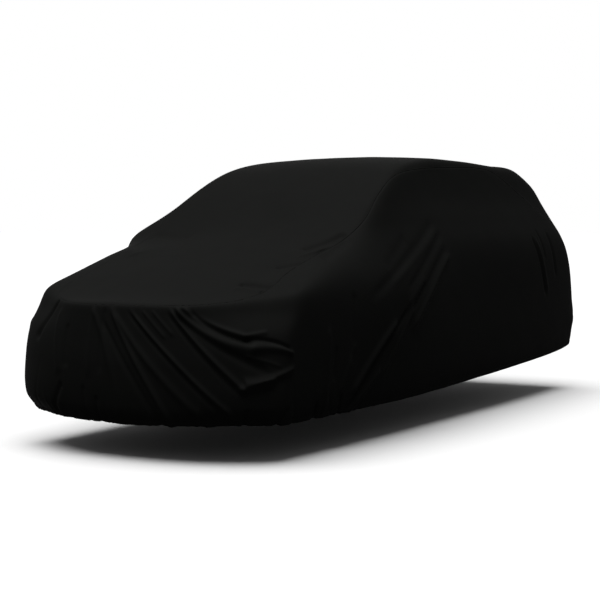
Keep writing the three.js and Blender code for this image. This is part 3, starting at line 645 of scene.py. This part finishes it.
@dataclass
class SkirtPanel:
    """The band of cloth round the car, from the seam down to its elastic hem."""

    form: CarForm
    seam: SeamLine
    ripple: Ripple = Ripple(5)
    # seam
    seam_fade: float = 0.022  # distance from the seam over which the folds rise
    seam_puckers: Puckers = Puckers(11, 0.021, 0.0055, 0.030, 0.0009)
    groove: Table = Table(
        (0.0, 0.0012), (0.900, 0.0014), (1.500, 0.0020), (1.850, 0.0036), (2.600, 0.0032), (3.900, 0.0034),
        (4.400, 0.0026), (5.175, 0.0018),
    )  # (s, depth of the seam's groove)
    groove_width: float = 0.0055
    seam_sink: float = 0.0012
    seam_lips: tuple[Lip, ...] = (Lip(0.0022, 0.011), Lip(0.0014, 0.002))
    seam_reach: tuple[float, ...] = (0.015, 0.005, 0.002)  # flat distance of each turned line from the seam
    # hem
    hem_line: Table = Table(
        (0.0, 0.170), (0.600, 0.181), (1.000, 0.181), (1.500, 0.185), (2.200, 0.190), (3.300, 0.228),
        (4.200, 0.268), (4.700, 0.320), (5.175, 0.300),
    )  # (s, height)
    hem_puckers: Puckers = Puckers(12, 0.034, 0.0085, 0.060, 0.0036)
    hem_long_puckers: Puckers = Puckers(13, 0.11, 0.017, 0.130, 0.0040)
    gather_line: Table = Table(
        (0.0, 0.9), (0.600, 0.7), (0.900, 1.0), (1.300, 1.1), (1.600, 0.5), (2.000, 0.25), (4.300, 0.3),
        (5.175, 0.7),
    )  # (s, strength of the hem's gathers)
    casing: float = 0.026  # width of the casing that holds the elastic
    casing_ease: float = 0.006
    casing_height: float = 0.0014
    stitch_depth: float = 0.0012
    stitch_width: float = 0.0022
    hem_ease: float = 0.004
    hem_turn: float = 0.0012
    hem_lips: tuple[float, ...] = (0.0012, 0.0040, 0.0052)  # how far inside the cloth each turned line lies
    hem_inside: float = 0.0050
    hem_inside_rows: tuple[int, ...] = (-3, -5, -7)  # rows that the cloth behind the elastic follows up
    hem_reach: tuple[float, ...] = (0.002, 0.005, 0.007, 0.014, 0.027, 0.033)  # as seam_reach, from the hem
    # net
    column_step: Table = Table(
        (-5.176, 0.024), (-2.700, 0.021), (-1.600, 0.018), (-1.000, 0.015), (-0.600, 0.008), (-0.200, 0.005),
        (1.000, 0.005), (1.250, 0.0075), (2.600, 0.008), (2.900, 0.018), (3.700, 0.018), (3.850, 0.009),
        (4.200, 0.009), (4.400, 0.020), (5.176, 0.024),
    )  # (s, distance between columns)
    column_stops: int = 20001
    seam_rows: tuple[float, ...] = (0.0, 0.0012, 0.003, 0.006, 0.011, 0.018)  # below the seam
    middle_rows: int = 78
    hem_rows: tuple[float, ...] = (
        0.050, 0.040, 0.032, 0.028, 0.026, 0.024, 0.020, 0.013, 0.006, 0.0015, 0.0,
    )  # above the hem
    row_shift: float = 0.35  # how far the middle rows crowd towards the hem along the sides
    row_shift_start: float = 1.2
    row_shift_end: float = 2.0
    lowest_tilt: float = 140.0
    walk_stops: int = 150

    def columns(self) -> np.ndarray:
        """Places of the columns round the car, close together where there are many folds.

        Returns:
            s of each column.
        """
        half = self.form.round / 2
        s = np.linspace(-half, half, self.column_stops)
        count = np.r_[0, np.cumsum(np.diff(s) / self.column_step.at((s[1:] + s[:-1]) / 2))]
        total = int(count[-1])
        return np.interp(np.arange(total) * count[-1] / total, count, s)

    def rows(self, stops: SeamStops) -> tuple[CarPoints, np.ndarray]:
        """Walks down the form from each seam stop to the hem.

        Args:
            stops: the seam stop above each column.

        Returns:
            Points down each column, and their distances from the seam along the cloth.
        """
        hem = self.hem_line.at(np.abs(stops.s))
        first = stops.tilt[:, None]
        tilt = first + (self.lowest_tilt - first) * np.linspace(0, 1, self.walk_stops)
        line = self.form.place(np.repeat(stops.s[:, None], self.walk_stops, axis=1), tilt)
        gone = np.cumsum(np.linalg.norm(np.diff(line, axis=1), axis=-1), axis=1)
        gone = np.concatenate([np.zeros((len(line), 1)), gone], axis=1)
        total = np.array([np.interp(-h, -c[:, 2], d) for h, c, d in zip(hem, line, gone)])
        want = self.row_distances(stops.s, total)
        points = np.stack(
            [
                np.stack([np.interp(w, d, c[:, k]) for k in range(3)], -1)
                for w, d, c in zip(want, gone, line)
            ]
        )
        return self.form.settle(points), want

    def row_distances(self, s: np.ndarray, total: np.ndarray) -> np.ndarray:
        """Sets out the rows of each column, close together by the seam and by the hem.

        Args:
            s: place of each column.
            total: length of each column from seam to hem.

        Returns:
            Distance of each row from the seam.
        """
        near_seam = np.repeat(np.array([self.seam_rows]), len(total), axis=0)
        near_hem = total[:, None] - np.array([self.hem_rows])
        share = np.linspace(0, 1, self.middle_rows + 2)[None, 1:-1]
        side = self.row_shift * smooth(np.abs(s), self.row_shift_start, self.row_shift_end)[:, None]
        share = share + side * share * (1 - share)
        low, high = near_seam[:, -1:], near_hem[:, :1]
        return np.concatenate([near_seam, low + (high - low) * share, near_hem], axis=1)

    def net(self) -> ClothNet:
        """Works out the skirt's net, with its folds, seam lip and gathered hem.

        Returns:
            The net.
        """
        stops = self.seam.walk(self.columns())
        points, want = self.rows(stops)
        out = self.form.outward(points)
        points = points + out * self.shift(stops.s, points, want)[..., None]
        allowance = self.seam_allowance(points, out, stops.down)
        turn = self.hem_turned(points, out)
        net = np.concatenate([allowance, points, turn], axis=1)
        first, last = [out[:, :1]] * allowance.shape[1], [out[:, -1:]] * turn.shape[1]
        guide = np.concatenate([*first, out, *last], axis=1)
        above = want[:, :1] - np.array([self.seam_reach])
        below = want[:, -1:] + np.array([self.hem_reach])
        reach = np.concatenate([above, want, below], axis=1)
        flat = np.stack([np.repeat(stops.s[:, None], net.shape[1], axis=1), reach], axis=-1)
        return ClothNet(net, guide, flat, True)

    def shift(self, places: np.ndarray, points: CarPoints, want: np.ndarray) -> np.ndarray:
        """Adds up all that pushes the cloth off the form.

        Args:
            places: s of each column.
            points: the net on the form.
            want: distance of each point from the seam.

        Returns:
            The shift of the cloth at each point.
        """
        s = np.repeat(places[:, None], points.shape[1], axis=1)
        round_car = self.form.round
        shift = sum(fold.rise(s, points[..., 2], round_car) for fold in SKIRT_FOLDS)
        shift = (shift + self.ripple.rise(points)) * smooth(want, 0, self.seam_fade)
        off_hem = want[:, -1:] - want
        shift = shift + self.seam_puckers.rise(s, want, round_car)
        gathers = self.hem_puckers.rise(s, off_hem, round_car)
        gathers = gathers + self.hem_long_puckers.rise(s, off_hem, round_car)
        shift = shift + gathers * self.gather_line.at(np.abs(s))
        shift = shift - self.groove.at(np.abs(s)) * np.exp(-((want / self.groove_width) ** 2))
        casing = smooth(off_hem, self.casing, self.casing - self.casing_ease)
        casing = casing * smooth(off_hem, -self.hem_ease, self.hem_ease)
        stitches = np.exp(-(((off_hem - self.casing) / self.stitch_width) ** 2))
        return shift + self.casing_height * casing - self.stitch_depth * stitches

    def seam_allowance(self, points: CarPoints, out: np.ndarray, down: np.ndarray) -> CarPoints:
        """Turns the cloth's upper edge in under the seam.

        Args:
            points: the folded net.
            out: outward directions of the net.
            down: direction down onto the skirt at each column.

        Returns:
            Three points at the top of each column.
        """
        first = points[:, :1] - out[:, :1] * self.seam_sink
        lips = [first - out[:, :1] * lip.inside + down[:, None] * lip.along for lip in self.seam_lips]
        return np.concatenate([*lips, first], axis=1)

    def hem_turned(self, points: CarPoints, out: np.ndarray) -> CarPoints:
        """Turns the cloth's lower edge in over the elastic and up behind it.

        Args:
            points: the folded net.
            out: outward directions of the net.

        Returns:
            Six points at the foot of each column.
        """
        foot, foot_out = points[:, -1:], out[:, -1:]
        under = unit(foot - points[:, -3:-2]) * self.hem_turn
        near, middle, back = self.hem_lips
        turn = [foot + under - foot_out * near, foot + under - foot_out * middle, foot - foot_out * back]
        behind = list(self.hem_inside_rows)
        return np.concatenate([*turn, points[:, behind] - out[:, behind] * self.hem_inside], axis=1)


@dataclass
class TopPanel:
    """The cloth over bonnet, windscreen, roof and tailgate glass."""

    form: CarForm
    seam: SeamLine
    ripple: Ripple = Ripple(9)
    # seam
    seam_fade: float = 0.016
    seam_puckers: Puckers = Puckers(21, 0.023, 0.0060, 0.028, 0.0008)
    groove_depth: float = 0.0009
    groove_width: float = 0.0040
    seam_sink: float = 0.0030
    seam_lips: tuple[Lip, ...] = (Lip(0.0012, 0.002), Lip(0.0022, 0.011))
    # net, with the places round the car (s) that its stops are shared out between
    end_stops: int = 82  # on half the nose and on half the tail
    side_stops: int = 330
    nose_corner: float = 0.72
    front_door: float = 2.6
    front_share: float = 0.62  # of a side's stops, those ahead of front_door
    tail_corner: float = 4.44
    tail_middle: float = 5.176

    def stops(self) -> SeamStops:
        """Stops of the seam that the panel's rim follows.

        Returns:
            The stops, from the middle of the nose along the left side first.
        """
        ends, sides = self.end_stops, self.side_stops
        half = 2 * ends + sides
        line = Table(
            (0, 0.0),
            (ends, self.nose_corner),
            (ends + sides * self.front_share, self.front_door),
            (ends + sides, self.tail_corner),
            (half, self.tail_middle),
        )
        i = np.arange(2 * half)
        s = line.at(np.where(i <= half, i, 2 * half - i))
        return self.seam.walk(np.where(i <= half, s, -s))

    def net(self) -> ClothNet:
        """Works out the top's net: stretched over the seam, pushed out onto the form, then folded.

        Returns:
            The net.
        """
        stops, ends, sides = self.stops(), self.end_stops, self.side_stops
        left, tail, right, nose = self.edges(len(stops.s))
        points = self.stretched(stops.point, left, tail, right, nose)
        out = self.form.outward(points)
        points = points + out * self.shift(points)[..., None]
        rim = np.concatenate([left, tail[1:], right[-2::-1], nose[-2:0:-1]])
        normal, down = stops.normal[rim], stops.down[rim]
        low = stops.point[rim] - normal * self.seam_sink
        turned = [low] + [low - normal * lip.inside - down * lip.along for lip in self.seam_lips]
        across = np.cumsum(np.r_[0, np.linalg.norm(np.diff(points[sides // 2], axis=0), axis=-1)])
        along = np.cumsum(np.r_[0, np.linalg.norm(np.diff(points[:, ends], axis=0), axis=-1)])
        flat = np.stack(np.meshgrid(along, across, indexing="ij"), axis=-1)
        return ClothNet(points, out, flat, False, turned)

    def edges(self, count: int) -> tuple[np.ndarray, np.ndarray, np.ndarray, np.ndarray]:
        """Shares the seam's stops out among the net's four edges.

        Args:
            count: number of stops.

        Returns:
            Stop numbers along the left side, tail, right side and nose, each corner in two of them.
        """
        ends, sides = self.end_stops, self.side_stops
        i = np.arange(count)
        left = i[ends : ends + sides + 1]
        tail = i[ends + sides : 3 * ends + sides + 1]
        right = i[3 * ends + sides : 3 * ends + 2 * sides + 1][::-1]
        nose = np.r_[i[3 * ends + 2 * sides :], i[: ends + 1]][::-1]
        return left, tail, right, nose

    def stretched(
        self, p: CarPoints, left: np.ndarray, tail: np.ndarray, right: np.ndarray, nose: np.ndarray
    ) -> CarPoints:
        """Stretches a net between the four edges and pushes it out onto the form.

        Args:
            p: the seam's stops.
            left: stop numbers along the left side.
            tail: stop numbers along the tail.
            right: stop numbers along the right side.
            nose: stop numbers along the nose.

        Returns:
            The net on the form.
        """
        u = np.linspace(0, 1, len(left))[:, None, None]
        v = np.linspace(0, 1, len(tail))[None, :, None]
        net = (1 - v) * p[left][:, None] + v * p[right][:, None] + (1 - u) * p[nose][None] + u * p[tail][None]
        front, rear = (1 - v) * p[left[0]] + v * p[right[0]], (1 - v) * p[left[-1]] + v * p[right[-1]]
        net = net - (1 - u) * front - u * rear
        pivot = self.form.mid_x + (net[..., 0] - self.form.mid_x) * self.form.spine
        start = np.stack([pivot, np.zeros_like(pivot), np.full_like(pivot, self.form.pivot_z)], axis=-1)
        return self.form.meet(pivot, unit(net - start))

    def shift(self, points: CarPoints) -> np.ndarray:
        """Adds up all that pushes the cloth off the form.

        Args:
            points: the net on the form.

        Returns:
            The shift of the cloth at each point.
        """
        edge = self.edge_distance(points)
        shift = sum(fold.rise(points[..., 0], points[..., 1]) for fold in TOP_FOLDS)
        shift = (shift + self.ripple.rise(points)) * smooth(edge, 0, self.seam_fade)
        shift = shift - self.groove_depth * np.exp(-((edge / self.groove_width) ** 2))
        turn = np.arctan2(points[..., 1], points[..., 0] - self.form.mid_x)
        s = turn * self.form.round / (2 * math.pi)
        return shift + self.seam_puckers.rise(s, edge, self.form.round)

    def edge_distance(self, points: CarPoints) -> np.ndarray:
        """Distance along the net from each point to the seam.

        Args:
            points: the net.

        Returns:
            The shortest of the distances to the four edges.
        """
        du = np.linalg.norm(np.diff(points, axis=0), axis=-1)
        dv = np.linalg.norm(np.diff(points, axis=1), axis=-1)
        top = np.concatenate([np.zeros((1, points.shape[1])), np.cumsum(du, axis=0)])
        low = np.concatenate([np.zeros((points.shape[0], 1)), np.cumsum(dv, axis=1)], axis=1)
        return np.minimum(np.minimum(top, top[-1:] - top), np.minimum(low, low[:, -1:] - low))


@dataclass(frozen=True)
class SatinFinish:
    """Black stretch satin: a very dark ground with a weak soft gloss, fine ribs and a faint crush."""

    name: str = "black_satin"
    colour: tuple[float, float, float] = (0.00107, 0.00110, 0.00104)
    worn: tuple[float, float, float] = (0.00125, 0.00128, 0.00122)
    roughness: float = 0.55
    gloss: float = 0.001
    mottle_scale: float = 7.0
    mottle_detail: float = 4.0
    crush_scale: float = 22.0
    crush_detail: float = 3.0
    crush_distortion: float = 0.6
    crush_strength: float = 0.25
    crush_height: float = 0.002
    rib_scale: float = 240.0
    rib_distortion: float = 0.4
    rib_strength: float = 0.15
    rib_height: float = 0.0003

    def material(self) -> bpy.types.Material:
        """Builds the node material.

        Returns:
            The finished material.
        """
        mat = bpy.data.materials.new(self.name)
        mat.use_nodes = True
        tree = mat.node_tree
        shader = tree.nodes["Principled BSDF"]
        shader.inputs["Roughness"].default_value = self.roughness
        shader.inputs["Specular IOR Level"].default_value = self.gloss
        uv = tree.nodes.new("ShaderNodeUVMap")
        uv.uv_map = "cloth"
        place = tree.nodes.new("ShaderNodeTexCoord")
        mottle = tree.nodes.new("ShaderNodeTexNoise")
        mottle.inputs["Scale"].default_value = self.mottle_scale
        mottle.inputs["Detail"].default_value = self.mottle_detail
        tree.links.new(place.outputs["Object"], mottle.inputs["Vector"])
        tone = tree.nodes.new("ShaderNodeMix")
        tone.data_type = "RGBA"
        tone.inputs["A"].default_value = (*self.colour, 1)
        tone.inputs["B"].default_value = (*self.worn, 1)
        tree.links.new(mottle.outputs["Fac"], tone.inputs["Factor"])
        tree.links.new(tone.outputs["Result"], shader.inputs["Base Color"])
        crush = tree.nodes.new("ShaderNodeTexNoise")
        crush.inputs["Scale"].default_value = self.crush_scale
        crush.inputs["Detail"].default_value = self.crush_detail
        crush.inputs["Distortion"].default_value = self.crush_distortion
        tree.links.new(place.outputs["Object"], crush.inputs["Vector"])
        ribs = tree.nodes.new("ShaderNodeTexWave")
        ribs.wave_type = "BANDS"
        ribs.bands_direction = "Y"
        ribs.inputs["Scale"].default_value = self.rib_scale
        ribs.inputs["Distortion"].default_value = self.rib_distortion
        tree.links.new(uv.outputs["UV"], ribs.inputs["Vector"])
        soft = tree.nodes.new("ShaderNodeBump")
        soft.inputs["Strength"].default_value = self.crush_strength
        soft.inputs["Distance"].default_value = self.crush_height
        tree.links.new(crush.outputs["Fac"], soft.inputs["Height"])
        fine = tree.nodes.new("ShaderNodeBump")
        fine.inputs["Strength"].default_value = self.rib_strength
        fine.inputs["Distance"].default_value = self.rib_height
        tree.links.new(ribs.outputs["Fac"], fine.inputs["Height"])
        tree.links.new(soft.outputs["Normal"], fine.inputs["Normal"])
        tree.links.new(fine.outputs["Normal"], shader.inputs["Normal"])
        return mat


@dataclass(frozen=True)
class FloorFinish:
    """Matt near-white studio floor."""

    name: str = "pale_floor"
    colour: tuple[float, float, float] = (0.113, 0.113, 0.113)
    roughness: float = 0.9
    gloss: float = 0.1

    def material(self) -> bpy.types.Material:
        """Builds the node material.

        Returns:
            The finished material.
        """
        mat = bpy.data.materials.new(self.name)
        mat.use_nodes = True
        shader = mat.node_tree.nodes["Principled BSDF"]
        shader.inputs["Base Color"].default_value = (*self.colour, 1)
        shader.inputs["Roughness"].default_value = self.roughness
        shader.inputs["Specular IOR Level"].default_value = self.gloss
        return mat


@dataclass
class Studio:
    """Pale floor, soft light and the camera, whose place, directions and focal length come from a fit."""

    camera_place: tuple[float, float, float] = (-6.59713, -4.59476, 1.18728)
    camera_right: tuple[float, float, float] = (0.51682, -0.85606, -0.00725)
    camera_up: tuple[float, float, float] = (0.05275, 0.0234, 0.99833)
    focal_px: float = 1565.69
    image_px: float = 600.0
    sensor_mm: float = 36.0
    clip_end: float = 200.0
    floor_reach: float = 60.0
    overhead: float = 26.0
    overhead_spread: float = 64.0
    overhead_place: tuple[float, float, float] = (-1.0, -0.5, 4.0)
    overhead_way: tuple[float, float, float] = (0.08, -0.08, -1.0)
    surround: tuple[float, float, float] = (1.0, 1.0, 1.0)
    surround_strength: float = 1.0

    def camera(self) -> bpy.types.Object:
        """Makes the camera at its fitted place.

        Returns:
            The camera.
        """
        data = bpy.data.cameras.new("camera")
        data.sensor_width = self.sensor_mm
        data.lens = self.focal_px / self.image_px * self.sensor_mm
        data.clip_end = self.clip_end
        cam = bpy.data.objects.new("camera", data)
        bpy.context.scene.collection.objects.link(cam)
        right, up = Vector(self.camera_right).normalized(), Vector(self.camera_up).normalized()
        back = right.cross(up).normalized()
        up = back.cross(right)
        turn = Matrix((right, up, back)).transposed().to_4x4()
        cam.matrix_world = Matrix.Translation(Vector(self.camera_place) - Vector(ORIGIN)) @ turn
        bpy.context.scene.camera = cam
        return cam

    def floor(self) -> bpy.types.Object:
        """Lays the floor at ground level.

        Returns:
            The floor.
        """
        mesh = bpy.data.meshes.new("floor")
        far = self.floor_reach
        corners = [(x, y, GROUND_Z) for x, y in ((-far, -far), (far, -far), (far, far), (-far, far))]
        mesh.from_pydata(corners, [], [(0, 1, 2, 3)])
        mesh.materials.append(FloorFinish().material())
        floor = bpy.data.objects.new("floor", mesh)
        bpy.context.scene.collection.objects.link(floor)
        return floor

    def light(self) -> None:
        """Hangs the wide soft light overhead and sets the white surround."""
        data = bpy.data.lights.new("overhead_light", "SUN")
        data.energy = self.overhead
        data.angle = math.radians(self.overhead_spread)
        lamp = bpy.data.objects.new("overhead_light", data)
        bpy.context.scene.collection.objects.link(lamp)
        lamp.location = self.overhead_place
        lamp.rotation_euler = Vector(self.overhead_way).to_track_quat("-Z", "Y").to_euler()
        world = bpy.data.worlds.new("surround")
        world.use_nodes = True
        ground = world.node_tree.nodes["Background"]
        ground.inputs["Color"].default_value = (*self.surround, 1)
        ground.inputs["Strength"].default_value = self.surround_strength
        bpy.context.scene.world = world
        bpy.context.scene.view_settings.view_transform = "Standard"


def add_piece(net: ClothNet, panel: Panel, finish: bpy.types.Material) -> bpy.types.Object:
    """Makes a panel's object, dresses it and ties it to the frame.

    Args:
        net: the panel's net.
        panel: which panel it is.
        finish: its material.

    Returns:
        The object.
    """
    piece = bpy.data.objects.new(panel.value + "_cloth", net.mesh(panel.value + "_cloth"))
    piece.data.materials.append(finish)
    bpy.context.scene.collection.objects.link(piece)
    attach(piece, "root")
    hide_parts(panel.value)
    return piece


def main() -> None:
    """Builds the cover's pieces in order, then the studio."""
    logging.basicConfig(level=logging.INFO, format="%(message)s")
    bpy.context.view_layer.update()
    form = CarForm()
    seam = SeamLine(form)
    satin = SatinFinish().material()

    top_net = TopPanel(form, seam).net()
    top = add_piece(top_net, Panel.TOP, satin)
    top_area = top_net.area()
    LOG.info("top panel: %.2f square metres, %d faces", top_area, len(top.data.polygons))

    skirt_net = SkirtPanel(form, seam).net()
    skirt = add_piece(skirt_net, Panel.SKIRT, satin)
    skirt_area = skirt_net.area()
    LOG.info("skirt panel: %.2f square metres, %d faces", skirt_area, len(skirt.data.polygons))

    studio = Studio()
    studio.floor()
    studio.light()
    studio.camera()


if __name__ == "__main__":
    main()
